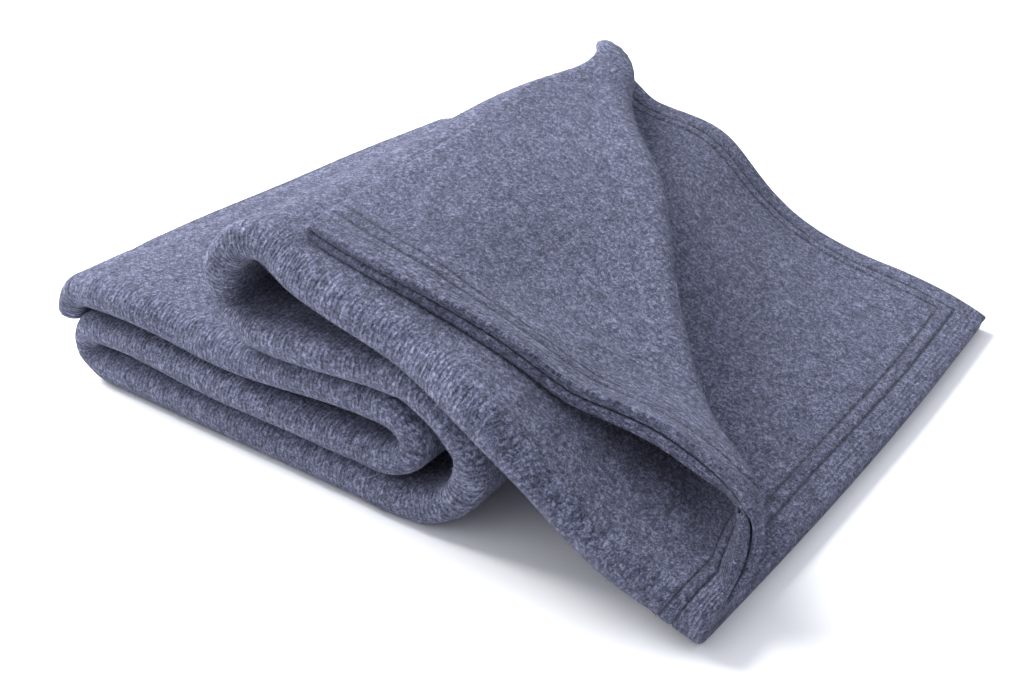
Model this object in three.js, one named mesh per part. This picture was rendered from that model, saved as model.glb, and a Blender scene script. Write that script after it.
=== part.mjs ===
// A folded knit wool blanket: one panel of cloth, folded in four lengthwise, laid to and fro in three
// flat runs and one raised run, with the end corner of its two upper layers turned over.
// Millimetres, Z up. X runs along the front edge, Y away from the front edge, origin under the middle.
import * as THREE from "three";

const WIDTH = 317.5; // a quarter of the blanket's 1.27 m
const THICK = 3.3; // the cloth, brushed on both faces
const HEM_MORE = 1.3; // how much thicker the turned hem is
const HEM_DEEP = 22; // how deep the hem is turned
const LAYER_GAP = 0.35; // least air between two layers
const FLAP_GAP = 3.2; // least air under the turned corner
const HEM_BOW = 3.5; // how far the end hem bows out in its middle
const REACH = 280; // the ridge of the turned corner leaves the far edge this far from the end hem
const ACROSS = { plain: 6, upper: 17, small: 3, large: 6 }; // segments of the folded section
const CROWD = { most: 3, wide: 24, beyond: 26, fade: 70 }; // how segments gather at the roll
const RIDGE_BOW = { near: 10, dip: 27, dipEnd: 90, more: 10, moreFrom: 60, moreEnd: 180 }; // see footIn
const SLOPE_SPAN = 5; // half the length over which the raised run's slope is read
const SOFTEN = 4; // how gently the turned cloth comes to lie on the cloth below
const CENTRE = [166.33, 157.09]; // plan position of the origin, from the left front corner of the stack

// One row per place where the strip's run changes. front and far: x, z, heading in degrees (0 = right,
// 90 = up), how far the edge stands in from the straight line, pitch from one layer to the next.
// steps: segments to the next row.
const FOLDS = [
  { name: "free end", front: [-14.5, 33, 70, 2, 4.3], far: [-22, 26, 48, 0, 3.9], steps: 2 },
  { name: "droop", front: [3, 50.4, 7, 1, 4.8], far: [-3, 38.9, 6, 0, 3.9], steps: 2 },
  { name: "run A middle", front: [95, 47.7, -1, 1, 4.7], far: [90, 39.5, 0, 2, 3.9], steps: 2 },
  { name: "run A right", front: [195, 51.4, 0, 1, 4.5], far: [189, 39.8, 0, 2, 3.8], steps: 2 },
  { name: "inner turn", front: [212.5, 39, -90, 2, 4.3], far: [198.5, 31.6, -90, 2, 3.75], steps: 2 },
  { name: "run B right", front: [195, 26.5, -180, 1, 4.5], far: [189, 23.4, -180, 1, 3.8], steps: 2 },
  { name: "run B middle", front: [100, 29, -180, 0, 5.1], far: [100, 23.5, -180, 0, 3.9], steps: 1 },
  { name: "run B left", front: [10.5, 30.5, -178, 0, 5.2], far: [6, 23.6, -180, 0, 3.8], steps: 2 },
  { name: "left turn", front: [-0.5, 20, -90, 0, 5.2], far: [-2, 15.5, -90, 0, 3.75], steps: 2 },
  { name: "run C left", front: [10.5, 9.5, 0, 0, 5.2], far: [6, 7.4, 0, 0, 3.8], steps: 2 },
  { name: "run C middle", front: [110, 9.3, 0, 0, 5.1], far: [100, 7.5, 0, 0, 3.9], steps: 2 },
  { name: "run C right", front: [212, 8.7, 0, 0, 4.7], far: [192, 7.5, 0, 0, 3.9], steps: 2 },
  { name: "outer turn", front: [243.5, 38.3, 90, 1, 4.4], far: [217.5, 31, 90, 0, 3.8], steps: 3 },
  { name: "run D right", front: [199, 68.4, 181, 2, 4.2], far: [178, 56.5, 180, 2, 3.8], steps: 2 },
  { name: "run D left", front: [126, 66.4, 180, -1, 4.5], far: [125, 57, 180, 3, 3.9], steps: 4 },
  { name: "open loop", front: [102, 82.5, 90, 2, 4.9], far: [90, 78, 90, 4, 3.9], steps: 3 },
  { name: "loop crest", front: [130, 109, -15, 5, 4.9], far: [117, 103.8, 4, 4, 3.9], steps: 2 },
  { name: "run E left", front: [152, 101.2, -14, 4, 4.8], far: [150, 91, -13, 3, 4.2], steps: 2 },
  { name: "run E brow", front: [208, 87, -22, -2, 4.2], far: [196, 77.3, -31, 3, 3.9], steps: 3 },
  { name: "run E fall", front: [262, 69.5, -31, -9, 4.7], far: [240, 42.3, -34, 4, 4.0], steps: 3 },
  { name: "run E foot", front: [315, 31, -27, -4, 5.2], far: [300, 24.4, -6, 5, 4.5], steps: 4 },
  { name: "end hem", front: [358, 10.6, -12, 2, 5.4], far: [360, 8.8, -24, 4, 4.9], steps: 0 },
];

// The roll of the turned corner along its ridge: part of the way from the near corner, radius,
// slide of the cloth back towards the near corner, flatness (1 = round).
const ROLL = [
  [0, 11, 2, 0.8],
  [0.08, 12.5, 9, 0.75],
  [0.16, 14.5, 21, 0.75],
  [0.35, 11, 27, 0.9],
  [0.6, 9.5, 20, 1],
  [1, 8, 4, 1],
];
// The rim of the turned corner, on top of its cloth. Hem side: part of the way from the near corner to
// the tip, x, y, z. Fold side: part of the way from the tip to the far end of the ridge, x, y, z.
const RIM_HEM = [
  [0.2, 338, 40, 58],
  [0.28, 330, 36, 65.5],
  [0.36, 309, 32, 74],
  [0.47, 275, 26, 80.5],
  [0.58, 240, 20, 88.5],
  [0.72, 202, 15, 101],
  [0.84, 173, 18, 108],
  [1, 147, 19, 117],
];
const RIM_FOLD = [
  [0, 147, 19, 117],
  [0.5, 132, 165, 122],
  [1, 104, 320, 126],
];

const clamp = (v, lo, hi) => Math.min(Math.max(v, lo), hi);
const ease = (t) => t * t * (3 - 2 * t);
const step = (v) => ease(clamp(v, 0, 1));
const add = (a, b, k = 1) => [a[0] + b[0] * k, a[1] + b[1] * k, a[2] + b[2] * k];
const mix = (a, b, w) => a.map((v, i) => v * (1 - w) + b[i] * w);
const dot = (a, b) => a[0] * b[0] + a[1] * b[1] + a[2] * b[2];
const cross = (a, b) => [a[1] * b[2] - a[2] * b[1], a[2] * b[0] - a[0] * b[2], a[0] * b[1] - a[1] * b[0]];
const distance = (a, b) => Math.hypot(a[0] - b[0], a[1] - b[1], a[2] - b[2]);
const unit = (a) => add([0, 0, 0], a, 1 / Math.max(Math.hypot(...a), 1e-9));
const arcAngles = (count) => Array.from({ length: count - 1 }, (_, i) => (Math.PI * (i + 1)) / count);

// Cubic from p to q, leaving along dp and arriving along dq.
function hermite(p, q, dp, dq, t) {
  const places = (2 * t ** 3 - 3 * t ** 2 + 1) * p + (3 * t ** 2 - 2 * t ** 3) * q;
  return places + (t ** 3 - 2 * t ** 2 + t) * dp + (t ** 3 - t ** 2) * dq;
}

// A row of values, read smoothly from a table whose first column is the place.
function read(table, place) {
  const last = table.length - 1;
  const at = clamp(place, table[0][0], table[last][0]);
  let i = 0;
  while (i < last - 1 && at >= table[i + 1][0]) i += 1;
  const slope = (k, c) => {
    if (k === 0) return (table[1][c] - table[0][c]) / (table[1][0] - table[0][0]);
    if (k === last) return (table[last][c] - table[last - 1][c]) / (table[last][0] - table[last - 1][0]);
    const before = table[k][0] - table[k - 1][0];
    const after = table[k + 1][0] - table[k][0];
    const left = (table[k][c] - table[k - 1][c]) / before;
    const right = (table[k + 1][c] - table[k][c]) / after;
    return (left * after + right * before) / (before + after);
  };
  const h = table[i + 1][0] - table[i][0];
  const t = (at - table[i][0]) / h;
  return table[i].slice(1).map((v, c) => {
    const leave = h * slope(i, c + 1);
    const arrive = h * slope(i + 1, c + 1);
    return hermite(v, table[i + 1][c + 1], leave, arrive, t);
  });
}

// One long edge of the folded strip: a smooth curve through the rows of the table.
function edge(side, line) {
  const points = [];
  FOLDS.slice(0, -1).forEach((row, i) => {
    const [x0, z0, h0, in0, p0] = row[side];
    const [x1, z1, h1, in1, p1] = FOLDS[i + 1][side];
    const a = (h0 * Math.PI) / 180;
    const b = (h1 * Math.PI) / 180;
    const chord = Math.hypot(x1 - x0, z1 - z0);
    const turn = Math.acos(clamp(Math.cos(a - b), -1, 1));
    const pull = chord / Math.cos(turn / 4) ** 2;
    const end = i === FOLDS.length - 2 ? row.steps : row.steps - 1;
    for (let k = 0; k <= end; k += 1) {
      const t = k / row.steps;
      const x = hermite(x0, x1, pull * Math.cos(a), pull * Math.cos(b), t);
      const z = hermite(z0, z1, pull * Math.sin(a), pull * Math.sin(b), t);
      points.push([x, line + in0 + (in1 - in0) * ease(t), z, p0 + (p1 - p0) * ease(t)]);
    }
  });
  return points;
}

function directions(points) {
  const flat = points.map((p) => [p[0], 0, p[2]]);
  const d = flat.slice(1).map((p, i) => unit(add(p, flat[i], -1)));
  const t = flat.map((_, i) => (i > 0 && i < d.length ? unit(add(d[i - 1], d[i])) : null));
  t[0] = unit(add(add(d[0], d[0]), t[1], -1));
  t[d.length] = unit(add(add(d[d.length - 1], d[d.length - 1]), t[d.length - 1], -1));
  return t;
}

const FRONT = edge("front", 0);
const FAR = edge("far", WIDTH);
const FRONT_DIR = directions(FRONT);
const FAR_DIR = directions(FAR);
const RUN = [0];
FRONT.slice(1).forEach((p, i) => {
  const near = distance(p, FRONT[i]);
  const away = distance(FAR[i + 1], FAR[i]);
  RUN.push(RUN[i] + (near + away) / 2);
});
const LENGTH = RUN[RUN.length - 1];
const STATIONS = RUN.map((s) => LENGTH - s); // distance of each station from the end hem

// Middle surface of the strip: place, direction towards the end hem, direction to the far edge,
// direction away from the cloth, pitch. end = distance from the end hem, y = distance from the front.
function strip(end, y) {
  const s = LENGTH - Math.max(end, 0);
  let i = 0;
  while (i < RUN.length - 2 && s > RUN[i + 1]) i += 1;
  const t = clamp((s - RUN[i]) / (RUN[i + 1] - RUN[i]), 0, 1);
  const front = mix(FRONT[i], FRONT[i + 1], t);
  const far = mix(FAR[i], FAR[i + 1], t);
  const w = y / WIDTH;
  const along = mix(mix(FRONT_DIR[i], FRONT_DIR[i + 1], t), mix(FAR_DIR[i], FAR_DIR[i + 1], t), w);
  const place = add(mix(front, far, w).slice(0, 3), along, -Math.min(end, 0));
  const normal = unit(cross(along, add(far, front, -1)));
  const ahead = unit(along);
  return { place, ahead, aside: cross(normal, ahead), normal, pitch: front[3] * (1 - w) + far[3] * w };
}

// Height of the raised run's middle surface over a place in plan.
function runHeight(x, y) {
  const over = (curve) => {
    let i = curve.reduce((best, p, k) => (p[2] > curve[best][2] ? k : best), 0);
    while (i < curve.length - 2 && x > curve[i + 1][0]) i += 1;
    const t = clamp((x - curve[i][0]) / (curve[i + 1][0] - curve[i][0]), 0, 1);
    return curve[i][2] + (curve[i + 1][2] - curve[i][2]) * t;
  };
  const w = clamp(y / WIDTH, 0, 1);
  return over(FRONT) * (1 - w) + over(FAR) * w;
}

// How far the ridge's foot stands in from the straight line between its two ends.
function footIn(end) {
  const { near, dip, dipEnd, more, moreFrom, moreEnd } = RIDGE_BOW;
  return near - dip * step(end / dipEnd) - more * step((end - moreFrom) / (moreEnd - moreFrom));
}

const RIDGE = Math.hypot(REACH, WIDTH);
const RIDGE_END = REACH / RIDGE;
const RIDGE_Y = WIDTH / RIDGE;
const CORNER = WIDTH * RIDGE_Y; // where the strip's far corner stands along the ridge

// Middle between the two upper layers, with the corner beyond the ridge rolled over and laid back.
function upperPair(end, y) {
  const here = strip(end, y);
  const foot = footIn(end);
  const across = ((y - foot) * WIDTH) / (WIDTH - foot);
  const along = end * RIDGE_END + across * RIDGE_Y;
  const beyond = across * RIDGE_END - end * RIDGE_Y;
  if (beyond <= 0) return add(here.place, here.normal, here.pitch);
  const s = clamp(along, 0.001, RIDGE);
  const onHem = s < CORNER;
  const most = onHem ? (s * RIDGE_END) / RIDGE_Y : ((RIDGE - s) * RIDGE_Y) / RIDGE_END;
  const [radius, slide, flatness] = read(ROLL, s / RIDGE);
  const toY = (a) => (a * (WIDTH - foot)) / WIDTH + foot;
  const head = Math.min(beyond / radius, Math.PI);
  if (beyond <= Math.PI * radius) {
    const out = radius * flatness * Math.sin(head);
    const back = along - (slide * (1 - Math.cos(head))) / 2;
    const at = strip(back * RIDGE_END - out * RIDGE_Y, toY(back * RIDGE_Y + out * RIDGE_END));
    return add(at.place, at.normal, at.pitch + radius * (1 - Math.cos(head)));
  }
  const back = along - slide;
  const top = strip(back * RIDGE_END, toY(back * RIDGE_Y));
  const from = add(top.place, top.normal, top.pitch + 2 * radius);
  const rest = Math.max(most - Math.PI * radius, 1e-6);
  const rim = onHem ? read(RIM_HEM, s / CORNER) : read(RIM_FOLD, (s - CORNER) / (RIDGE - CORNER));
  rim[2] -= THICK / 2 + top.pitch / 2;
  const span = Math.hypot(...add(rim, from, -1));
  const to = mix(from, rim, step(rest / span));
  const point = mix(from, to, clamp((beyond - Math.PI * radius) / rest, 0, 1));
  const below = (shift) => runHeight(point[0] + shift, point[1]);
  const slope = (below(SLOPE_SPAN) - below(-SLOPE_SPAN)) / (2 * SLOPE_SPAN);
  const clear = below(0) + (2 * top.pitch + THICK) * Math.hypot(1, slope) + FLAP_GAP;
  const gap = Math.abs(point[2] - clear) / SOFTEN;
  point[2] = Math.max(point[2], clear) + Math.max(1 - gap, 0) ** 2;
  return point;
}

// Places across the upper layers, crowded where the roll crosses this station.
function upperPlaces(end) {
  const middle = (end * WIDTH) / REACH + footIn(end) + CROWD.beyond;
  const crowd = CROWD.most * CROWD.wide * clamp((WIDTH + CROWD.fade - middle) / CROWD.fade, 0, 1);
  const count = (y) => y + crowd * Math.atan((y - middle) / CROWD.wide);
  const whole = count(WIDTH) - count(0);
  return Array.from({ length: ACROSS.upper + 1 }, (_, k) => {
    let lo = 0;
    let hi = WIDTH;
    for (let i = 0; i < 40; i += 1) {
      const half = (lo + hi) / 2;
      if ((count(half) - count(0)) / whole < k / ACROSS.upper) lo = half;
      else hi = half;
    }
    return (lo + hi) / 2;
  });
}

// Directions away from a grid of points.
function normals(grid) {
  const pick = (i, k) => grid[clamp(i, 0, grid.length - 1)][clamp(k, 0, grid[0].length - 1)];
  const away = (i, k) => {
    const along = add(pick(i + 1, k), pick(i - 1, k), -1);
    const across = add(pick(i, k + 1), pick(i, k - 1), -1);
    return unit(cross(along, across));
  };
  return grid.map((row, i) => row.map((_, k) => away(i, k)));
}

// The whole cloth as a grid: a row per station, each row once through the four layers.
function cloth() {
  const places = STATIONS.map(upperPlaces);
  const wide = (i) => 1.5 * FRONT[i][3];
  const acrossAt = (i, k) => wide(i) + ((WIDTH - wide(i) - FAR[i][3] / 2) * places[i][k]) / WIDTH;
  const pair = STATIONS.map((end, i) => places[i].map((_, k) => upperPair(end, acrossAt(i, k))));
  const away = normals(pair);
  const sense = Math.sign(dot(away[0][0], strip(STATIONS[0], acrossAt(0, 0)).normal));
  const last = ACROSS.upper;
  return STATIONS.map((end, i) => {
    const plainAt = (_, k) => strip(end, wide(i) + ((WIDTH - wide(i)) * k) / ACROSS.plain);
    const plain = Array.from({ length: ACROSS.plain + 1 }, plainAt);
    const { place, aside, normal } = plain[0];
    const bend = (radius, sign, count) =>
      arcAngles(count).map((a) => {
        const out = add(place, aside, -radius * Math.sin(a));
        return add(out, normal, sign * radius * Math.cos(a));
      });
    const layer = (level) =>
      pair[i].map((p, k) => {
        const { pitch } = strip(end, acrossAt(i, k));
        return add(p, away[i][k], (sense * level * pitch) / 2);
      });
    const second = layer(-1);
    const first = layer(1);
    const centre = mix(first[last], second[last], 0.5);
    const rise = unit(add(first[last], second[last], -1));
    const radius = distance(first[last], second[last]) / 2;
    const outward = add(pair[i][last], pair[i][last - 1], -1);
    const out = unit(add(outward, rise, -dot(outward, rise)));
    const farFold = arcAngles(ACROSS.small).map((a) => {
      const level = add(centre, rise, -radius * Math.cos(a));
      return add(level, out, radius * Math.sin(a));
    });
    return [
      ...plain.map((q) => add(q.place, q.normal, -0.5 * q.pitch)).reverse(),
      ...bend(FRONT[i][3] / 2, -1, ACROSS.small),
      ...second,
      ...farFold,
      ...first.reverse(),
      ...bend(wide(i), 1, ACROSS.large),
      ...plain.map((q) => add(q.place, q.normal, -1.5 * q.pitch)),
    ];
  });
}

// Soft unevenness of the whole pile: size of each wave, and the lengths it runs over in x, y and z.
const SWAY_X = { size: 1.6, y: 31, z: 37 };
const SWAY_Y = [{ size: 1.5, x: 43, z: 11 }, { size: 1, x: 17, z: -19 }];
const SWELL = [{ size: 0.022, x: 29, y: 47, turn: 0 }, { size: 0.012, x: 19, y: -38, turn: 1 }];
const DENT = { deep: 8, y: 225, wide: 70, from: 70, over: 90, height: 40 }; // in the left end
const SWAY_HEIGHT = 45; // the waves grow up to this height and half as much again
const BOW_FROM = 290; // the end hem's bow begins here
const BOW_OVER = 60;
const FLOOR = 1; // what is lower than this lies flat on the floor

function settle([x, y, z]) {
  const up = clamp(z / SWAY_HEIGHT, 0, 1.5);
  const part = clamp(y / WIDTH, 0, 1);
  const left = step((DENT.from - x) / DENT.over) * Math.exp(-(((y - DENT.y) / DENT.wide) ** 2));
  const dent = DENT.deep * left * clamp(z / DENT.height, 0, 1);
  const bow = HEM_BOW * Math.sin(Math.PI * part) * step((x - BOW_FROM) / BOW_OVER);
  const dx = SWAY_X.size * Math.sin(y / SWAY_X.y + z / SWAY_X.z) * up + bow - dent;
  const dy = SWAY_Y.reduce((sum, w) => sum + w.size * Math.sin(x / w.x + z / w.z) * up, 0);
  const [swell, ripple] = SWELL.map((w) => w.size * Math.sin(x / w.x + y / w.y + w.turn));
  const height = z * (1 + swell + ripple * (1 - part));
  const flat = height < FLOOR ? 0 : 1.5 * (height - FLOOR);
  const level = height < 3 * FLOOR ? flat : height;
  return [x + dx - CENTRE[0], y + dy - CENTRE[1], level];
}

function blanketGeometry() {
  const grid = cloth();
  const away = normals(grid);
  const rows = grid.length;
  const columns = grid[0].length;
  // How much thicker the cloth is at its hems, where the pitch leaves room.
  const inHem = (i, k) => {
    const fromEnd = Math.min(STATIONS[i], LENGTH - STATIONS[i]);
    const onSide = k === 0 || k === columns - 1;
    const room = Math.min(FRONT[i][3], FAR[i][3]) - THICK - LAYER_GAP;
    return fromEnd < HEM_DEEP || onSide ? clamp(room, 0, HEM_MORE) : 0;
  };
  const positions = [];
  [1, -1].forEach((face) => {
    grid.forEach((row, i) => {
      row.forEach((p, k) => {
        positions.push(...settle(add(p, away[i][k], (face * (THICK + inHem(i, k))) / 2)));
      });
    });
  });
  const index = [];
  const at = (face, i, k) => face * rows * columns + i * columns + k;
  const point = (a) => positions.slice(3 * a, 3 * a + 3);
  const length = (a, b) => distance(point(a), point(b));
  const quad = (a, b, c, d) => {
    if (length(a, c) <= length(b, d)) index.push(a, b, c, a, c, d);
    else index.push(a, b, d, b, c, d);
  };
  for (let i = 0; i < rows - 1; i += 1) {
    for (let k = 0; k < columns - 1; k += 1) {
      quad(at(0, i, k), at(0, i + 1, k), at(0, i + 1, k + 1), at(0, i, k + 1));
      quad(at(1, i, k), at(1, i, k + 1), at(1, i + 1, k + 1), at(1, i + 1, k));
    }
    quad(at(0, i, 0), at(1, i, 0), at(1, i + 1, 0), at(0, i + 1, 0));
    quad(at(0, i + 1, columns - 1), at(1, i + 1, columns - 1), at(1, i, columns - 1), at(0, i, columns - 1));
  }
  for (let k = 0; k < columns - 1; k += 1) {
    quad(at(0, 0, k + 1), at(1, 0, k + 1), at(1, 0, k), at(0, 0, k));
    quad(at(0, rows - 1, k), at(1, rows - 1, k), at(1, rows - 1, k + 1), at(0, rows - 1, k + 1));
  }
  const geometry = new THREE.BufferGeometry();
  geometry.setAttribute("position", new THREE.Float32BufferAttribute(positions, 3));
  geometry.setIndex(index);
  geometry.computeVertexNormals();
  return geometry;
}

const wool = new THREE.MeshStandardMaterial({ color: 0x6f7590, roughness: 1, metalness: 0 });
const blanket = new THREE.Mesh(blanketGeometry(), wool);
blanket.name = "blanket";

const part = new THREE.Group();
part.name = "folded_blanket";
part.add(blanket);

export default part;
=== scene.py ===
# %% [markdown]
# # A folded wool blanket
# The object is one panel of brushed knit wool with a turned, twin-stitched hem on all four sides. It is
# folded in four lengthwise, laid to and fro in three flat runs and one raised run, and the end corner of
# its two upper layers is turned over. We rebuild it as one sheet worked out with numpy, a grid whose rows
# run across the four layers and whose columns run along the strip. Everything is in metres in the end,
# but the tables below are in millimetres, as a maker would write them.

import bpy
import numpy as np
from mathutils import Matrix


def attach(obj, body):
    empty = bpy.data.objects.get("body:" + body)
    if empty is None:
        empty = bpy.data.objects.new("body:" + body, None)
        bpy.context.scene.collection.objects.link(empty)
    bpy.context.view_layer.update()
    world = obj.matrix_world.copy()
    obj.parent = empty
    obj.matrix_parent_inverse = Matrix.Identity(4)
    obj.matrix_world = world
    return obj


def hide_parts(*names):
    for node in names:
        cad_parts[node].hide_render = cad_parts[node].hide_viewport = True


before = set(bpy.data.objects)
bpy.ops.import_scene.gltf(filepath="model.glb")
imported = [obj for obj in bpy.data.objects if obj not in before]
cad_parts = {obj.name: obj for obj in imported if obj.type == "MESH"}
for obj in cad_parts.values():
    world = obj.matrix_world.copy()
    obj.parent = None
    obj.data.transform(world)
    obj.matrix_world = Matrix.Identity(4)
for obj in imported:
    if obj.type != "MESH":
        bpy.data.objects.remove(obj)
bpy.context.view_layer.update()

# %% [markdown]
# ## The camera
# The photograph looks at the pile from the front and a little from the right, from 29 degrees above the
# table, with a normal lens. A point on the table near the middle of the pile is in the middle of the
# picture, so we place the camera from that point, a distance and two angles.

# %% Camera
MM = 0.001
LOOK_AT = np.array([-10.81, 2.58, 0.0]) * MM
LOOK_DISTANCE = 741 * MM
LOOK_TURN = np.radians(35.65)
LOOK_DOWN = np.radians(29.4)
LENS_MM = 48.0


def add_camera():
    """The camera stands back from LOOK_AT against the look direction, level with the horizon."""
    data = bpy.data.cameras.new("camera")
    data.lens = LENS_MM
    data.sensor_width = 36.0
    camera = bpy.data.objects.new("camera", data)
    bpy.context.scene.collection.objects.link(camera)
    level = np.cos(LOOK_DOWN)
    look = np.array([-np.sin(LOOK_TURN) * level, np.cos(LOOK_TURN) * level, -np.sin(LOOK_DOWN)])
    camera.location = LOOK_AT - look * LOOK_DISTANCE
    camera.rotation_euler = (np.pi / 2 - LOOK_DOWN, 0.0, LOOK_TURN)
    bpy.context.scene.camera = camera
    return camera


camera = add_camera()
print("camera at", [round(v, 3) for v in camera.location])

# %% [markdown]
# ## The folded strip
# Folded in four, the blanket is a strip. Its middle surface is ruled between two curves, one for the
# front edge and one for the far edge. Each curve is written as a short table: where the run turns, how
# high it is there, which way it heads, and how far one layer is from the next.

# %% Sizes and the table of folds
WIDTH = 317.5  # a quarter of the blanket's 1.27 m
THICK = 3.3  # the cloth, brushed on both faces
HEM_MORE = 1.3  # how much thicker the turned hem is
HEM_DEEP = 22.0  # how deep the hem is turned
LAYER_GAP = 0.35  # least air between two layers
FLAP_GAP = 1.0  # least air under the turned corner
HEM_BOW = 3.5  # how far the end hem bows out in its middle
REACH = 280.0  # the ridge of the turned corner leaves the far edge this far from the end hem
CENTRE = np.array([166.33, 157.09, 0.0])  # the origin, from the left front corner of the stack

# name, front: x, z, heading, stand-in, pitch, far: the same five, rows of faces to the next line
FOLDS = [
    ("free end", -14.5, 33, 70, 2, 4.3, -22, 26, 48, 0, 3.9, 2),
    ("droop", 3, 50.4, 7, 1, 4.8, -3, 38.9, 6, 0, 3.9, 2),
    ("run A middle", 95, 47.7, -1, 1, 4.7, 90, 39.5, 0, 2, 3.9, 2),
    ("run A right", 195, 51.4, 0, 1, 4.5, 189, 39.8, 0, 2, 3.8, 2),
    ("inner turn", 212.5, 39, -90, 2, 4.3, 198.5, 31.6, -90, 2, 3.75, 2),
    ("run B right", 195, 26.5, -180, 1, 4.5, 189, 23.4, -180, 1, 3.8, 2),
    ("run B middle", 100, 29, -180, 0, 5.1, 100, 23.5, -180, 0, 3.9, 1),
    ("run B left", 10.5, 30.5, -178, 0, 5.2, 6, 23.6, -180, 0, 3.8, 2),
    ("left turn", -0.5, 20, -90, 0, 5.2, -2, 15.5, -90, 0, 3.75, 2),
    ("run C left", 10.5, 9.5, 0, 0, 5.2, 6, 7.4, 0, 0, 3.8, 2),
    ("run C middle", 110, 9.3, 0, 0, 5.1, 100, 7.5, 0, 0, 3.9, 2),
    ("run C right", 212, 8.7, 0, 0, 4.7, 192, 7.5, 0, 0, 3.9, 2),
    ("outer turn", 243.5, 38.3, 90, 1, 4.4, 217.5, 31, 90, 0, 3.8, 3),
    ("run D right", 199, 68.4, 181, 2, 4.2, 178, 56.5, 180, 2, 3.8, 2),
    ("run D left", 126, 66.4, 180, -1, 4.5, 125, 57, 180, 3, 3.9, 4),
    ("open loop", 102, 82.5, 90, 2, 4.9, 90, 78, 90, 4, 3.9, 3),
    ("loop crest", 130, 109, -15, 5, 4.9, 117, 103.8, 4, 4, 3.9, 2),
    ("run E left", 152, 101.2, -14, 4, 4.8, 150, 91, -13, 3, 4.2, 2),
    ("run E brow", 208, 87, -22, -2, 4.2, 196, 77.3, -31, 3, 3.9, 3),
    ("run E fall", 262, 69.5, -31, -9, 4.7, 240, 42.3, -34, 4, 4.0, 3),
    ("run E foot", 315, 31, -27, -4, 5.2, 300, 24.4, -6, 5, 4.5, 4),
    ("end hem", 358, 10.6, -12, 2, 5.4, 360, 8.8, -24, 4, 4.9, 0),
]
STEPS = [row[-1] for row in FOLDS]
print(len(FOLDS), "places along the strip")

# %% [markdown]
# Each stretch between two lines of the table is a cubic curve that leaves and arrives along the given
# headings. Its pull is chosen so that a quarter turn comes out round.

# %% The two edge curves
FINE = 8  # points of the curve for each row of faces


def ease(t):
    """3 t squared - 2 t cubed: leaves 0 and reaches 1 without a corner."""
    return t * t * (3 - 2 * t)


def step(t):
    """ease, held at 0 below 0 and at 1 above 1."""
    return ease(np.clip(t, 0, 1))


def unit(v):
    """v divided by its length."""
    return v / np.maximum(np.linalg.norm(v, axis=-1, keepdims=True), 1e-9)


def edge_curve(first, line):
    """Cubic through the table's rows: tangent = heading times chord over cos squared of a quarter turn."""
    pieces = []
    for row, following in zip(FOLDS[:-1], FOLDS[1:]):
        x0, z0, h0, in0, p0 = row[first : first + 5]
        x1, z1, h1, in1, p1 = following[first : first + 5]
        a, b = np.radians(h0), np.radians(h1)
        turn = np.arccos(np.clip(np.cos(a - b), -1, 1))
        pull = np.hypot(x1 - x0, z1 - z0) / np.cos(turn / 4) ** 2
        t = np.linspace(0, 1, row[-1] * FINE + 1)[:, None]
        start, stop = np.array([[x0, z0]]), np.array([[x1, z1]])
        leave = pull * np.array([[np.cos(a), np.sin(a)]])
        arrive = pull * np.array([[np.cos(b), np.sin(b)]])
        xz = (2 * t**3 - 3 * t**2 + 1) * start + (t**3 - 2 * t**2 + t) * leave
        xz = xz + (3 * t**2 - 2 * t**3) * stop + (t**3 - t**2) * arrive
        rest = np.hstack([line + in0 + (in1 - in0) * ease(t), p0 + (p1 - p0) * ease(t)])
        points = np.column_stack([xz[:, 0], rest[:, 0], xz[:, 1], rest[:, 1]])
        pieces.append(points[:-1] if following[-1] else points)
    return np.concatenate(pieces)


FRONT = edge_curve(1, 0.0)
FAR = edge_curve(6, WIDTH)


def directions(curve):
    """Unit direction along the curve in the plane of X and Z, from the points on either side."""
    flat = curve[:, :3] * np.array([1, 0, 1])
    return unit(np.gradient(flat, axis=0))


FRONT_DIR = directions(FRONT)
FAR_DIR = directions(FAR)
front_steps = np.linalg.norm(np.diff(FRONT[:, :3], axis=0), axis=1)
far_steps = np.linalg.norm(np.diff(FAR[:, :3], axis=0), axis=1)
RUN = np.concatenate([[0], np.cumsum((front_steps + far_steps) / 2)])
LENGTH = RUN[-1]
print("the strip is", round(LENGTH), "mm long")


def at_run(values, end):
    """values, given along the curves, read at a distance from the end hem."""
    run = LENGTH - np.maximum(end, 0)
    return np.stack([np.interp(run, RUN, column) for column in values.T], axis=-1)


def strip(end, y):
    """Middle surface at a distance from the end hem and from the front: front + (far - front) y / WIDTH."""
    front, far = at_run(FRONT, end), at_run(FAR, end)
    w = (y / WIDTH)[..., None]
    along = at_run(FRONT_DIR, end) * (1 - w) + at_run(FAR_DIR, end) * w
    middle = front * (1 - w) + far * w
    place = middle[..., :3] - np.minimum(end, 0)[..., None] * along
    normal = unit(np.cross(along, far[..., :3] - front[..., :3]))
    aside = np.cross(normal, unit(along))
    return place, aside, normal, middle[..., 3]


# %% [markdown]
# ## The turned corner
# The two upper layers of the raised run are rolled over along a ridge from the near right corner to the
# far left. Up to the ridge they follow the strip. Beyond it they go round a half circle, and then run
# flat to a rim, whose places are judged from the photograph. Its hem side and its fold side meet
# at the tip.

# %% The ridge and the rim
# part of the way along the ridge, radius, slide back to the near corner, flatness
ROLL = np.array([
    (0, 11, 2, 0.8),
    (0.08, 12.5, 9, 0.75),
    (0.16, 14.5, 21, 0.75),
    (0.35, 11, 27, 0.9),
    (0.6, 9.5, 20, 1),
    (1, 8, 4, 1),
])
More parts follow.
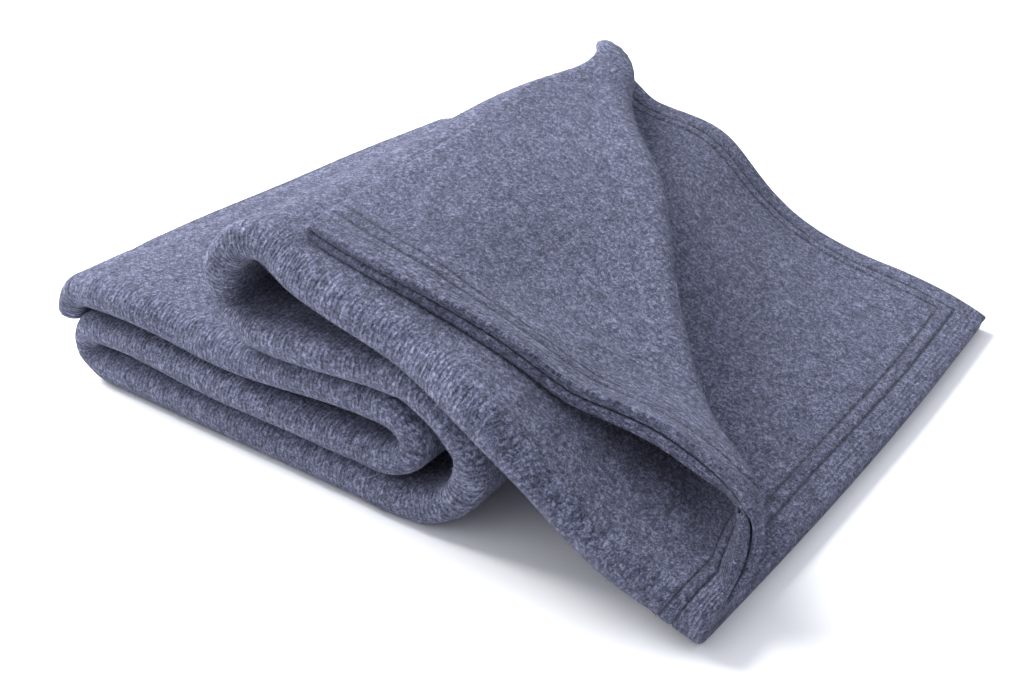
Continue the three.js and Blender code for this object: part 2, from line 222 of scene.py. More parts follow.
# part of the way from the near corner to the tip, x, y, z of the top of the cloth
RIM_HEM = np.array([
    (0.2, 338, 40, 58),
    (0.28, 330, 36, 65.5),
    (0.36, 309, 32, 74),
    (0.47, 275, 26, 80.5),
    (0.58, 240, 20, 88.5),
    (0.72, 202, 15, 101),
    (0.84, 173, 18, 108),
    (1, 147, 19, 117),
])
# part of the way from the tip to the far end of the ridge, x, y, z of the top of the cloth
RIM_FOLD = np.array([(0, 147, 19, 117), (0.5, 132, 165, 122), (1, 104, 320, 126)])
RIDGE = np.hypot(REACH, WIDTH)
RIDGE_END = REACH / RIDGE
RIDGE_Y = WIDTH / RIDGE
CORNER = WIDTH * RIDGE_Y  # where the strip's far corner stands along the ridge
SOFTEN = 4.0  # how gently the turned cloth comes to lie on the cloth below
SLOPE_SPAN = 5.0  # the slope below is taken this far to either side
print("ridge of the turned corner", round(RIDGE), "mm long")


def read(table, place):
    """A row of the table at a place: cubic between rows, with slopes from the rows on either side."""
    at, values = table[:, 0], table[:, 1:]
    slopes = np.gradient(values, at, axis=0)
    place = np.clip(place, at[0], at[-1])
    i = np.clip(np.searchsorted(at, place, side="right") - 1, 0, len(at) - 2)
    h = (at[i + 1] - at[i])[..., None]
    t = ((place - at[i]) / (at[i + 1] - at[i]))[..., None]
    ends = (2 * t**3 - 3 * t**2 + 1) * values[i] + (3 * t**2 - 2 * t**3) * values[i + 1]
    return ends + (t**3 - 2 * t**2 + t) * h * slopes[i] + (t**3 - t**2) * h * slopes[i + 1]


def run_height(x, y):
    """Height of the raised run's middle surface over a place in plan."""
    heights = []
    for curve in (FRONT, FAR):
        top = np.argmax(curve[:, 2])
        heights.append(np.interp(x, curve[top:, 0], curve[top:, 2]))
    w = np.clip(y / WIDTH, 0, 1)
    return heights[0] * (1 - w) + heights[1] * w


def foot_in(end):
    """How far the ridge's foot stands in from the straight line between its two ends."""
    return 10 - 27 * step(end / 90) - 10 * step((end - 60) / 120)


def upper_pair(end, y):
    """Middle between the two upper layers: strip, then a half circle of the roll's radius, then the rim."""
    place, _, normal, pitch = strip(end, y)
    flat = place + normal * pitch[..., None]
    foot = foot_in(end)
    squeeze = (WIDTH - foot) / WIDTH
    across = (y - foot) / squeeze
    along = np.clip(end * RIDGE_END + across * RIDGE_Y, 0.001, RIDGE)
    beyond = across * RIDGE_END - end * RIDGE_Y
    radius, slide, flatness = np.moveaxis(read(ROLL, along / RIDGE), -1, 0)
    half_turn = np.pi * radius
    head = np.clip(beyond / radius, 0, np.pi)
    out = radius * flatness * np.sin(head)
    back = along - slide * (1 - np.cos(head)) / 2
    foot_y = (back * RIDGE_Y + out * RIDGE_END) * squeeze + foot
    place, _, normal, pitch = strip(back * RIDGE_END - out * RIDGE_Y, foot_y)
    roll = place + normal * (pitch + radius * (1 - np.cos(head)))[..., None]
    back = along - slide
    place, _, normal, pitch = strip(back * RIDGE_END, back * RIDGE_Y * squeeze + foot)
    start = place + normal * (pitch + 2 * radius)[..., None]
    on_hem = along < CORNER
    most = np.where(on_hem, along * RIDGE_END / RIDGE_Y, (RIDGE - along) * RIDGE_Y / RIDGE_END)
    rest = np.maximum(most - half_turn, 1e-6)
    hem_side = read(RIM_HEM, along / CORNER)
    fold_side = read(RIM_FOLD, (along - CORNER) / (RIDGE - CORNER))
    rim = np.where(on_hem[..., None], hem_side, fold_side)
    rim[..., 2] -= THICK / 2 + pitch / 2
    span = np.linalg.norm(rim - start, axis=-1)
    rim = start + (rim - start) * step(rest / span)[..., None]
    part = np.clip((beyond - half_turn) / rest, 0, 1)[..., None]
    laid = start + (rim - start) * part
    x, y = laid[..., 0], laid[..., 1]
    slope = (run_height(x + SLOPE_SPAN, y) - run_height(x - SLOPE_SPAN, y)) / (2 * SLOPE_SPAN)
    clear = run_height(x, y) + (2 * pitch + THICK) * np.hypot(1, slope) + FLAP_GAP
    nearness = np.maximum(1 - np.abs(laid[..., 2] - clear) / SOFTEN, 0)
    laid[..., 2] = np.maximum(laid[..., 2], clear) + SOFTEN / 4 * nearness**2
    rolled = np.where((beyond > 0)[..., None], roll, flat)
    return np.where((beyond > half_turn)[..., None], laid, rolled)


# %% [markdown]
# ## The grid
# Rows of the grid stand along the strip, closer at the turns. They are closest beside the hems, where two
# rows of stitches pull a furrow into the cloth. Columns go once through the four layers of the fold:
# right under the two upper layers, round the inner fold, out, round the far fold, back, round the outer
# fold and home underneath.

# %% Rows and columns
ROWS_EACH = 4  # rows of the grid for each row of the table's faces
STITCH_ROWS = (13.8, 20.6)  # twin-needle rows, in from the hem's edge
EDGE_LINES = [0, 0.7, 2, 5, 9, 12.4, 13.2]
SEAM_LINES = [13.8, 14.4, 15.2, 17.2, 19.2, 20, 20.6, 21.2, 22, 24.5, 29]
HEM_LINES = np.array(EDGE_LINES + SEAM_LINES)
PLAIN_FROM = 2.0  # plain rows start this far past the hem's last line
CROWD = 3.0  # how much closer the columns stand at the roll
CROWD_WIDE = 24.0
CROWD_PAST = 26.0  # the roll's middle, past the ridge's foot
CROWD_FADE = 70.0
CROWD_FINE = 500
COLUMNS = {"plain": 25, "upper": 57, "inner": 8, "far": 8, "outer": 14}


def station_list():
    """Distances of the grid's rows from the end hem, from the free end to the end hem."""
    count = sum(STEPS) * ROWS_EACH
    places = np.interp(np.linspace(0, 1, count + 1), np.linspace(0, 1, len(RUN)), RUN)
    first = HEM_LINES[-1] + PLAIN_FROM
    inner = places[(places > first) & (places < LENGTH - first)]
    run = np.concatenate([HEM_LINES, inner, (LENGTH - HEM_LINES)[::-1]])
    return LENGTH - run


ENDS = station_list()
FRONT_PITCH = at_run(FRONT, ENDS)[:, 3]
FAR_PITCH = at_run(FAR, ENDS)[:, 3]
print(len(ENDS), "rows along the strip")


def upper_places(end):
    """Places across the upper layers, 0 to WIDTH, crowded where the roll crosses this row."""
    middle = end * WIDTH / REACH + foot_in(end) + CROWD_PAST
    crowd = CROWD * np.clip((WIDTH + CROWD_FADE - middle) / CROWD_FADE, 0, 1)
    y = np.linspace(0, WIDTH, CROWD_FINE)
    count = y + crowd * CROWD_WIDE * np.arctan((y - middle) / CROWD_WIDE)
    count = (count - count[0]) / (count[-1] - count[0])
    return np.interp(np.linspace(0, 1, COLUMNS["upper"] + 1), count, y)


def grid_normals(grid):
    """Cross product of the differences along rows and columns, made unit."""
    return unit(np.cross(np.gradient(grid, axis=0), np.gradient(grid, axis=1)))


def arc(count):
    """Angles inside a half turn, as a row."""
    return np.pi * np.arange(1, count)[None, :] / count


def cloth_grid():
    """Middle of the cloth (rows, columns, 3), and each point's place across the flat panel in mm."""
    ends = ENDS[:, None]
    wide = 1.5 * FRONT_PITCH[:, None]
    far_half = 0.5 * FAR_PITCH[:, None]
    rows = len(ENDS)
    # plain layers: hem lines beside the far edge, then even steps to the front
    spread = np.linspace(HEM_LINES[-1], WIDTH, COLUMNS["plain"] + 1)[1:]
    from_far = np.concatenate([HEM_LINES, spread])[None, :] / WIDTH
    plain_y = WIDTH - (WIDTH - wide) * from_far
    place, _, normal, pitch = strip(np.repeat(ends, plain_y.shape[1], 1), plain_y)
    under = place - normal * (0.5 * pitch)[..., None]
    lowest = place - normal * (1.5 * pitch)[..., None]
    # the two upper layers, on either side of their middle
    places = np.array([upper_places(end) for end in ENDS])
    upper_y = wide + (WIDTH - wide - far_half) * places / WIDTH
    pair_ends = np.repeat(ends, places.shape[1], 1)
    pair = upper_pair(pair_ends, upper_y)
    away = grid_normals(pair)
    _, _, start_normal, pitch = strip(pair_ends, upper_y)
    away = away * np.sign((away[0, 0] * start_normal[0, 0]).sum())
    second = pair - away * (pitch / 2)[..., None]
    first = pair + away * (pitch / 2)[..., None]

    def front_fold(radius, sign, count):
        """Half circles about the plain layers' front, above or below their middle."""
        angle = arc(count)
        shape = (rows, count - 1)
        place, aside, normal, _ = strip(np.broadcast_to(ends, shape), np.broadcast_to(wide, shape))
        sideways = aside * (radius * np.sin(angle))[..., None]
        return place - sideways + normal * (sign * radius * np.cos(angle))[..., None]

    inner = front_fold(wide / 3, -1, COLUMNS["inner"])
    outer = front_fold(wide, 1, COLUMNS["outer"])
    # the far fold joins the two upper layers wherever they have gone
    centre = (first[:, -1] + second[:, -1]) / 2
    rise = (first[:, -1] - second[:, -1]) / 2
    radius = np.linalg.norm(rise, axis=-1, keepdims=True)
    rise = rise / radius
    outward = pair[:, -1] - pair[:, -2]
    outward = unit(outward - rise * (outward * rise).sum(-1, keepdims=True))
    angle = arc(COLUMNS["far"])[..., None]
    far_fold = centre[:, None] - (rise * radius)[:, None] * np.cos(angle)
    far_fold = far_fold + (outward * radius)[:, None] * np.sin(angle)
    grid = np.concatenate([under, inner, second, far_fold, first[:, ::-1], outer, lowest[:, ::-1]], axis=1)
    # places across the flat panel
    u1 = WIDTH - plain_y
    u2 = u1[:, -1:] + wide / 3 * arc(COLUMNS["inner"])
    u3 = u1[:, -1:] + np.pi * wide / 3 + upper_y - wide
    u4 = u3[:, -1:] + radius * arc(COLUMNS["far"])
    u5 = u3[:, -1:] + np.pi * radius + upper_y[:, -1:] - upper_y[:, ::-1]
    u6 = u5[:, -1:] + wide * arc(COLUMNS["outer"])
    u7 = u5[:, -1:] + np.pi * wide + plain_y[:, ::-1] - wide
    return grid, np.concatenate([u1, u2, u3, u4, u5, u6, u7], axis=1)


SWAY_HEIGHT = 45.0  # where the waves reach their full width
SWAY_X, SWAY_Y = 1.6, 1.5
SWELL, RIPPLE = 0.022, 0.012  # waves in height, as parts of the height
DENT, DENT_Y, DENT_WIDE, DENT_HEIGHT = 8.0, 225.0, 70.0, 40.0  # the left end's bulge away from the pile
BOW_FROM, BOW_OVER = 290.0, 60.0  # the end hem's bow grows from here, over this much of the run
FLOOR_LAYER = 3.0  # cloth lower than this is pressed flat


def settle(points):
    """Soft unevenness of the whole pile, in waves that grow with height, and flat on the floor."""
    x, y, z = np.moveaxis(points, -1, 0)
    up = np.clip(z / SWAY_HEIGHT, 0, 1.5)
    left = step((70 - x) / 90)
    dx = -DENT * left * np.exp(-(((y - DENT_Y) / DENT_WIDE) ** 2)) * np.clip(z / DENT_HEIGHT, 0, 1)
    dx = dx + SWAY_X * np.sin(y / 31 + z / 37) * up
    dx = dx + HEM_BOW * np.sin(np.pi * np.clip(y / WIDTH, 0, 1)) * step((x - BOW_FROM) / BOW_OVER)
    dy = SWAY_Y * np.sin(x / 43 + z / 11) * up + np.sin(x / 17 - z / 19) * up
    front = 1 - np.clip(y / WIDTH, 0, 1)
    dz = z * (SWELL * np.sin(x / 29 + y / 47) + RIPPLE * np.sin(x / 19 - y / 38 + 1) * front)
    height = z + dz
    level = np.where(height < FLOOR_LAYER, np.maximum(height - 1, 0) * 1.5, height)
    return np.stack([x + dx, y + dy, level], axis=-1) - CENTRE


GRID, PANEL_U = cloth_grid()
PANEL_V = np.repeat(ENDS[:, None], GRID.shape[1], 1)
print("grid", GRID.shape[:2], "panel", round(float(PANEL_U.max())), "by", round(float(PANEL_V.max())), "mm")

# %% [markdown]
# ## Thickness
# The sheet gets its thickness as the real one does. The plain cloth is even, the hem is thicker because
# its edge is turned under, and it rounds off at the very edge. The two rows of stitches pull narrow
# furrows into it, and a few soft creases lie across the folds.

# %% Two faces of the cloth
FURROW = 0.75  # how deep the stitches pull the hem in
FURROW_WIDE = 0.8
EDGE_THIN = 0.45  # the very edge's thickness, as a part of the hem's
EDGE_ROUND = 2.0  # how far in the edge is rounded
HEM_FADE = 2.0  # over how much the hem's thickness ends
# place on the panel (share of its width, mm from the end hem), direction in degrees from across the strip,
# half length, half width, depth (below 0 is a ridge), all in mm
CREASES = np.array([
    (0.742, 415, 35, 22, 3.0, 0.9),
    (0.748, 452, -30, 24, 3.5, 1.0),
    (0.752, 486, 20, 20, 3.0, 0.9),
    (0.745, 520, -20, 26, 4.0, -0.8),
    (0.756, 548, 30, 18, 3.0, 0.9),
    (0.744, 700, 15, 26, 4.0, 0.9),
    (0.750, 742, -25, 22, 3.5, 0.9),
    (0.755, 905, 25, 20, 3.5, 0.9),
    (0.745, 930, -15, 22, 3.0, 0.9),
    (0.700, 1120, 70, 40, 4.5, 0.8),
    (0.400, 215, 50, 60, 7.0, -0.7),
    (0.340, 150, 62, 45, 6.0, 0.6),
    (0.120, 150, 80, 50, 7.0, 0.6),
    (0.180, 95, 74, 45, 6.0, -0.6),
])
CREASE_HIGH, CREASE_DEEP = 0.6, 0.9  # no ridge is higher and no trough deeper, where creases meet
FRONT_FOLDS = (0.25, 0.75)  # where the two front folds lie, as shares of the panel's width
RIB_REACH = 17.0  # how far from a front fold its ribs show
HEM_RIBS = 0.8  # how much of the ribs shows on the end hems
HEM_RIBS_FADE = 4.0
PANEL_WIDE = PANEL_U.max(axis=1, keepdims=True)
FROM_SIDE = np.minimum(PANEL_U, PANEL_WIDE - PANEL_U)
FROM_END = np.minimum(PANEL_V, LENGTH - PANEL_V)
FROM_EDGE = np.minimum(FROM_SIDE, FROM_END)


def thickness():
    """Cloth, plus the hem where layers leave room, rounded off at the edge by a quarter circle."""
    room = np.minimum(FRONT_PITCH, FAR_PITCH)[:, None] - THICK - LAYER_GAP
    hem = np.clip(room, 0, HEM_MORE) * step((HEM_DEEP + 1 - FROM_EDGE) / HEM_FADE)
    quarter = np.sqrt(1 - (1 - np.clip(FROM_EDGE / EDGE_ROUND, 0, 1)) ** 2)
    rounded = EDGE_THIN + (1 - EDGE_THIN) * quarter
    return (THICK + hem) * rounded


def furrows():
    """A narrow dip along each row of stitches: 1 in its middle."""
    dips = [np.exp(-(((FROM_EDGE - row) / FURROW_WIDE) ** 2)) for row in STITCH_ROWS]
    return dips[0] + dips[1]


def creases():
    """Sum over the table of depth times two bells, one along the crease and one across it."""
    share, end, turn, half, wide, deep = (column[:, None, None] for column in CREASES.T)
    du = PANEL_U - share * PANEL_U.max()
    dv = PANEL_V - end
    along = du * np.cos(np.radians(turn)) + dv * np.sin(np.radians(turn))
    across = dv * np.cos(np.radians(turn)) - du * np.sin(np.radians(turn))
    return (deep * np.exp(-((along / half) ** 2) - (across / wide) ** 2)).sum(axis=0)


def ribs_bump_and_shade_mask():
    """Where the nap parts and ribs show, in bump and in painted shade: a bell over each front fold, and the
    band of the end hems.
    """
    from_folds = [(PANEL_U / PANEL_WIDE - share) * PANEL_WIDE for share in FRONT_FOLDS]
    bells = [np.exp(-((away / RIB_REACH) ** 2)) for away in from_folds]
    return bells[0] + bells[1] + HEM_RIBS * step((STITCH_ROWS[0] - FROM_END) / HEM_RIBS_FADE)


def cloth_faces():
    """The right side, which shows, and the wrong side: middle plus and minus half the thickness."""
    away = -grid_normals(GRID)
    half = (thickness() / 2)[..., None]
    dip = (FURROW * furrows() + np.clip(creases(), -CREASE_HIGH, CREASE_DEEP))[..., None]
    return settle(GRID + away * (half - dip)), settle(GRID - away * half)


RIGHT_SIDE, WRONG_SIDE = cloth_faces()
print("thickness", round(float(thickness().min()), 1), "to", round(float(thickness().max()), 1), "mm")

# %% [markdown]
# ## One closed mesh
# Both faces and the rim between them go into one mesh. Its UV map holds each point's place on the flat
# panel, in millimetres, and two marks on its points say where the stitches and the ribs are.

# %% The cloth's mesh
WRONG_SIDE_APART = np.array([2000.0, 0.0])  # keeps the two sides' places apart on the map


def grid_faces(rows, columns):
    """Quads of both faces and of the rim round them, all turned outwards."""
    index = np.arange(rows * columns).reshape(rows, columns)
    back = index + rows * columns

    def quads(a):
        return np.stack([a[:-1, :-1], a[:-1, 1:], a[1:, 1:], a[1:, :-1]], axis=-1).reshape(-1, 4)

    rim = []
    for line, other in ((index[0], back[0]), (index[:, -1], back[:, -1])):
        rim.append(np.stack([line[:-1], other[:-1], other[1:], line[1:]], axis=-1))
    for line, other in ((index[-1], back[-1]), (index[:, 0], back[:, 0])):
        rim.append(np.stack([line[1:], other[1:], other[:-1], line[:-1]], axis=-1))
    return np.concatenate([quads(index), quads(back)[:, ::-1], *rim])


def mesh_object(name, points, faces, uv=None, marks=()):
    """A mesh from arrays: points in metres, faces as corner numbers, uv by corner, marks by point."""
    corners = faces.shape[1]
    mesh = bpy.data.meshes.new(name)
    mesh.vertices.add(len(points))
    mesh.vertices.foreach_set("co", points.astype(np.float32).ravel())
    mesh.loops.add(faces.size)
    mesh.loops.foreach_set("vertex_index", faces.astype(np.int32).ravel())
    mesh.polygons.add(len(faces))
    mesh.polygons.foreach_set("loop_start", np.arange(0, faces.size, corners, dtype=np.int32))
    mesh.polygons.foreach_set("use_smooth", np.ones(len(faces), dtype=bool))
    mesh.update(calc_edges=True)
    if uv is not None:
        layer = mesh.uv_layers.new(name="panel")
        layer.data.foreach_set("uv", uv.astype(np.float32).ravel())
    for mark, values in dict(marks).items():
        attribute = mesh.attributes.new(mark, "FLOAT", "POINT")
        attribute.data.foreach_set("value", values.astype(np.float32).ravel())
    mesh.validate()
    made = bpy.data.objects.new(name, mesh)
    bpy.context.scene.collection.objects.link(made)
    return made


def signed_volume(points, faces):
    """Sum of the volumes from the origin to each face: positive when faces point outwards."""
    a, b, c, d = (points[faces[:, k]] for k in range(4))
    first = np.einsum("ij,ij->i", a, np.cross(b, c))
    return float((first + np.einsum("ij,ij->i", a, np.cross(c, d))).sum() / 6)


def panel_map(faces, rows, columns):
    """Place on the panel of each face corner; a rim's far corners lie one thickness outside it."""
    place = np.stack([PANEL_U, PANEL_V], axis=-1).reshape(-1, 2)
    corners = np.concatenate([place, place + WRONG_SIDE_APART])[faces]
    ways = [((0, 1), columns - 1), ((1, 0), rows - 1), ((0, -1), columns - 1), ((-1, 0), rows - 1)]
    outward = np.concatenate([np.tile(way, (count, 1)) for way, count in ways])[:, None] * THICK
    rim = faces[-len(outward) :]
    beyond = rim >= len(place)
    corners[-len(outward) :] = place[rim % len(place)] + outward * beyond[..., None]
    return corners


def build_cloth():
    """Right side, wrong side and rim as one closed mesh, with its places on the panel and its marks."""
    points = np.concatenate([RIGHT_SIDE.reshape(-1, 3), WRONG_SIDE.reshape(-1, 3)]) * MM
    faces = grid_faces(*RIGHT_SIDE.shape[:2])
    if signed_volume(points, faces) < 0:
        faces = faces[:, ::-1]
    print("cloth", round(signed_volume(points, faces) * 1e6), "cubic cm,", 2 * len(faces), "triangles")
    none = np.zeros(GRID.shape[:2])
    marks = {"stitched": np.stack([furrows(), none]), "ribs_bump_and_shade_mask": np.stack([ribs_bump_and_shade_mask(), ribs_bump_and_shade_mask()])}
    return mesh_object("blanket_cloth", points, faces, panel_map(faces, *RIGHT_SIDE.shape[:2]), marks)


cloth = build_cloth()

# %% [markdown]
# ## The wool
# A heather yarn is spun from dyed and undyed fibres, so the colour is a fine mottle of slate blue and
# pale grey. The face is brushed, which hides the knit, except where a fold opens the nap and its ribs
# show; there the ribs are bump, and also painted shade in their valleys and painted light on their
# crests. A darker line marks each row of stitches. All patterns read the cloth's own UV map, in
# millimetres of the flat panel, so they follow it round every fold.

# %% Material
RIB_PITCH = 2.2
DARK_WOOL = (0.026, 0.027, 0.042, 1)
MIDDLE_WOOL = (0.100, 0.106, 0.173, 1)
PALE_WOOL = (0.36, 0.375, 0.52, 1)
STITCH_SHADE = (0.02, 0.02, 0.03, 1)
STITCH_SHARE = 0.72  # how much of the stitches' shade shows
DARK_AT, MIDDLE_AT, PALE_AT = 0.385, 0.5, 0.645  # where the mottle is dark, middling and pale
RIB_WANDER = 3.0  # how far the ribs stray, in mm
FUZZ_HEIGHT = 0.0011


def new_node(tree, kind, inputs=(), **settings):
    """A node with its settings, and its inputs linked or set."""
    made = tree.nodes.new(kind)
    for name, value in settings.items():
        setattr(made, name, value)
    for name, value in dict(inputs).items():
        if isinstance(value, bpy.types.NodeSocket):
            tree.links.new(value, made.inputs[name])
        else:
            made.inputs[name].default_value = value
    return made


def wool_material():
    """Heather colour by three sizes of mottle, with painted shade in the rib valleys; ribs and fuzz as
    bump; a soft sheen for the nap.
    """
    material = bpy.data.materials.new("heather_wool")
    material.use_nodes = True
    tree = material.node_tree
    tree.nodes.clear()
    place = new_node(tree, "ShaderNodeUVMap", uv_map="panel").outputs["UV"]

    def noise(scale, detail, rough=0.6, distortion=0.0):
        inputs = {"Vector": place, "Scale": scale, "Detail": detail}
        inputs.update({"Roughness": rough, "Distortion": distortion})
        return new_node(tree, "ShaderNodeTexNoise", inputs).outputs["Fac"]

    def math(operation, a, b=0.0):
        return new_node(tree, "ShaderNodeMath", {0: a, 1: b}, operation=operation).outputs[0]

    def mark(name):
        return new_node(tree, "ShaderNodeAttribute", attribute_name=name).outputs["Fac"]

    across = new_node(tree, "ShaderNodeSeparateXYZ", {0: place}).outputs["Y"]
    wander = math("MULTIPLY", noise(0.06, 1.0), RIB_WANDER)
    rib = math("SINE", math("MULTIPLY", math("ADD", across, wander), 2 * np.pi / RIB_PITCH))
    ribs_bump_and_shade = math("MULTIPLY", rib, mark("ribs_bump_and_shade_mask"))
    blotch = noise(0.13, 2.0, 0.55, 0.4)
    fleck = noise(0.50, 2.0, 0.65, 0.6)
    fibre = noise(1.25, 2.0, 0.8, 0.4)
    mottle = math("ADD", math("MULTIPLY", blotch, 0.16), math("MULTIPLY", fleck, 0.42))
    mottle = math("ADD", mottle, math("MULTIPLY", fibre, 0.42))
    # painted shade and painted light: the ribs darken the colour a little in their valleys and lighten it
    # on their crests
    mottle = math("ADD", mottle, math("MULTIPLY", ribs_bump_and_shade, 0.015))
    ramp = new_node(tree, "ShaderNodeValToRGB", {"Fac": mottle})
    dark, pale = ramp.color_ramp.elements
    dark.position, dark.color = DARK_AT, DARK_WOOL
    pale.position, pale.color = PALE_AT, PALE_WOOL
    ramp.color_ramp.elements.new(MIDDLE_AT).color = MIDDLE_WOOL
    stitched = math("MULTIPLY", mark("stitched"), STITCH_SHARE)
    shade = new_node(tree, "ShaderNodeMix", {0: stitched}, data_type="RGBA")
    tree.links.new(ramp.outputs["Color"], shade.inputs[6])
    shade.inputs[7].default_value = STITCH_SHADE

    fuzz = math("MULTIPLY", noise(1.1, 3.0, 0.8, 0.4), 1.2)
    tufts = math("MULTIPLY", noise(0.3, 2.0, 0.5), 0.8)
    height = math("ADD", math("ADD", math("MULTIPLY", ribs_bump_and_shade, 0.25), fuzz), tufts)
    bump = new_node(tree, "ShaderNodeBump", {"Height": height, "Strength": 1.0, "Distance": FUZZ_HEIGHT})
    shader = new_node(tree, "ShaderNodeBsdfPrincipled")
    tree.links.new(shade.outputs[2], shader.inputs["Base Color"])
    tree.links.new(bump.outputs[0], shader.inputs["Normal"])
    shader.inputs["Roughness"].default_value = 1.0
    shader.inputs["Specular IOR Level"].default_value = 0.1
    shader.inputs["Sheen Weight"].default_value = 0.2
    shader.inputs["Sheen Roughness"].default_value = 0.5
    shader.inputs["Sheen Tint"].default_value = (0.8, 0.84, 1.0, 1)
    output = new_node(tree, "ShaderNodeOutputMaterial")
    tree.links.new(shader.outputs[0], output.inputs["Surface"])
    return material


WOOL = wool_material()
cloth.data.materials.append(WOOL)
print("material", WOOL.name, "with", len(WOOL.node_tree.nodes), "nodes")

# %% [markdown]
# ## The nap
# Brushing pulls short fibres out of the face, and they soften every edge of the blanket. A particle system
# could grow them, but plain mesh spikes export with the piece. Each fibre is a slim three-sided spike. We
# scatter them where the cloth faces open air: a place is open when no other cloth stands a few
# millimetres in front of it, which a grid of small boxes tells us.

# %% Nap
FIBRES = 66000  # at most
TRIES = 5  # places tried for each fibre
FIBRE_LONG = (0.8, 2.0)
FIBRE_WIDE = 0.09
LEAN = 0.75
STAND = 0.2  # a fibre that leans more than this allows is raised
BOX = 2.0  # side of a small box
BOX_TESTS = 1600000  # places on each face that fill the boxes
MARGIN = 10.0  # air round the cloth, in the boxes
CLEAR = (3.5, 5.0)  # how far in front of the cloth the air is free
OFF_FLOOR = 2.0  # no fibre starts lower
FACING_DOWN = -0.6
rng = np.random.default_rng(11)


def scatter(face, count):
    """Random places, even over a face's area: quad drawn by its area, then a mix of its four corners."""
    sides = np.cross(face[1:, :-1] - face[:-1, :-1], face[:-1, 1:] - face[:-1, :-1])
    chance = np.cumsum(np.linalg.norm(sides, axis=-1).ravel())
    pick = np.searchsorted(chance, rng.random(count) * chance[-1])
    i, j = np.unravel_index(pick, sides.shape[:2])
    s, t = rng.random((2, count))
    return i, j, s, t


def mix(values, i, j, s, t):
    """Values of the grid at scattered places: straight between the four corners of the quad."""
    s, t = s[:, None], t[:, None]
    near = values[i, j] * (1 - t) + values[i, j + 1] * t
    return near * (1 - s) + (values[i + 1, j] * (1 - t) + values[i + 1, j + 1] * t) * s


def filled_boxes(low, high, count):
    """True in each small box that holds some of the cloth's two faces."""
    filled = np.zeros(np.ceil((high - low) / BOX).astype(int) + 1, dtype=bool)
    for face in (RIGHT_SIDE, WRONG_SIDE):
        index = ((mix(face, *scatter(face, count)) - low) / BOX).astype(int)
        filled[tuple(index.T)] = True
    return filled


def build_nap():
    """Spikes on the open parts of the right side: root, a leaning direction, and three corners round it."""
    low = RIGHT_SIDE.min(axis=(0, 1)) - MARGIN
    high = RIGHT_SIDE.max(axis=(0, 1)) + MARGIN
    filled = filled_boxes(low, high, BOX_TESTS)
    spots = scatter(RIGHT_SIDE, TRIES * FIBRES)
    root = mix(RIGHT_SIDE, *spots)
    normal = unit(mix(-grid_normals(RIGHT_SIDE), *spots))
    free = (root[:, 2] > OFF_FLOOR) & (normal[:, 2] > FACING_DOWN)
    for reach in CLEAR:
        index = ((root + normal * reach - low) / BOX).astype(int)
        free &= ~filled[tuple(index.T)]
    keep = np.flatnonzero(free)[:FIBRES]
    root, normal = root[keep], normal[keep]
    place = mix(np.stack([PANEL_U, PANEL_V], axis=-1), *(part[keep] for part in spots))
    lean = unit(normal + LEAN * rng.normal(size=normal.shape))
    short_of = STAND - (lean * normal).sum(-1, keepdims=True)
    lean = unit(lean + normal * np.clip(short_of, 0, None) * 2)
    side = unit(np.cross(lean, rng.normal(size=lean.shape)))
    other = np.cross(lean, side)
    long = rng.uniform(*FIBRE_LONG, size=(len(keep), 1))
    angles = np.radians([0, 120, 240])
    base = [root + FIBRE_WIDE * (np.cos(angle) * side + np.sin(angle) * other) for angle in angles]
    points = np.stack([*base, root + lean * long], axis=1).reshape(-1, 3) * MM
    corners = np.array([(0, 1, 3), (1, 2, 3), (2, 0, 3)])
    faces = (4 * np.arange(len(keep))[:, None, None] + corners).reshape(-1, 3)
    print("nap", len(keep), "fibres,", len(faces), "triangles")
    return mesh_object("blanket_nap", points, faces, np.repeat(place, corners.size, axis=0))


nap = build_nap()
nap.data.materials.append(WOOL)

# %% [markdown]
# ## Floor and light
# The photograph is a studio picture on white. A large plane gives the white floor and takes the soft
# shadow. A faintly blue surround, brighter overhead than at the horizon, fills from all round. One large
# soft light from the left gives the folds their form, and a weak one in front keeps them readable.

# %% Stage
FLOOR_SIZE = 60.0
FLOOR_DROP = 0.0002
FLOOR_WHITE = (0.97, 0.97, 0.975, 1)
SURROUND = (0.90, 0.93, 1.0, 1)
AIM = (0, 0, 0.05)


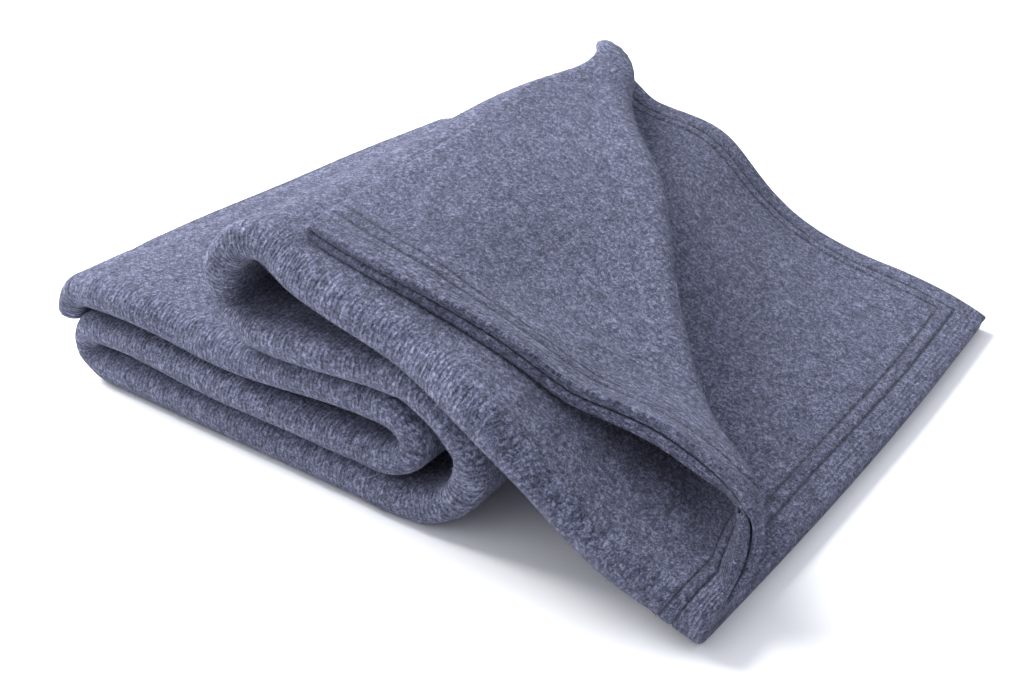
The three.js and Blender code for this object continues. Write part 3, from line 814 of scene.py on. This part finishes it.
def add_floor():
    """A square of plain white just under the blanket."""
    half = FLOOR_SIZE / 2
    points = np.array([[-half, -half, 0], [half, -half, 0], [half, half, 0], [-half, half, 0]])
    floor = mesh_object("floor", points - np.array([0, 0, FLOOR_DROP]), np.array([[0, 1, 2, 3]]))
    white = bpy.data.materials.new("floor_white")
    white.use_nodes = True
    shader = white.node_tree.nodes["Principled BSDF"]
    shader.inputs["Base Color"].default_value = FLOOR_WHITE
    shader.inputs["Roughness"].default_value = 0.9
    shader.inputs["Specular IOR Level"].default_value = 0.0
    floor.data.materials.append(white)
    return floor


def add_light(name, place, size, power):
    """A square area light at place, turned to AIM."""
    data = bpy.data.lights.new(name, "AREA")
    data.shape = "SQUARE"
    data.size = size
    data.energy = power
    lamp = bpy.data.objects.new(name, data)
    bpy.context.scene.collection.objects.link(lamp)
    direction = np.array(AIM) - np.array(place)
    lamp.location = place
    flat = np.hypot(direction[0], direction[1])
    lamp.rotation_euler = (np.arctan2(flat, -direction[2]), 0.0, np.arctan2(-direction[0], direction[1]))


def add_world(level, overhead):
    """A surround that is brighter overhead: strength = level + overhead times the direction's height."""
    world = bpy.data.worlds.new("studio")
    world.use_nodes = True
    tree = world.node_tree
    direction = new_node(tree, "ShaderNodeTexCoord").outputs["Generated"]
    up = new_node(tree, "ShaderNodeSeparateXYZ", {0: direction}).outputs["Z"]
    inputs = {0: up, 1: overhead, 2: level}
    strength = new_node(tree, "ShaderNodeMath", inputs, operation="MULTIPLY_ADD").outputs[0]
    back = tree.nodes["Background"]
    back.inputs["Color"].default_value = SURROUND
    tree.links.new(strength, back.inputs["Strength"])
    bpy.context.scene.world = world


floor = add_floor()
add_world(level=0.38, overhead=0.70)
add_light("window", place=(-1.5, 0.1, 1.3), size=1.4, power=94)
add_light("front_fill", place=(-0.6, -1.6, 1.1), size=1.6, power=5)
bpy.context.scene.view_settings.view_transform = "Standard"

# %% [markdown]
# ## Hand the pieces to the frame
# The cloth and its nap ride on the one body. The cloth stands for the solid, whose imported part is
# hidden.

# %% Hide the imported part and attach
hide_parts("blanket")
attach(cloth, "root")
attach(nap, "root")
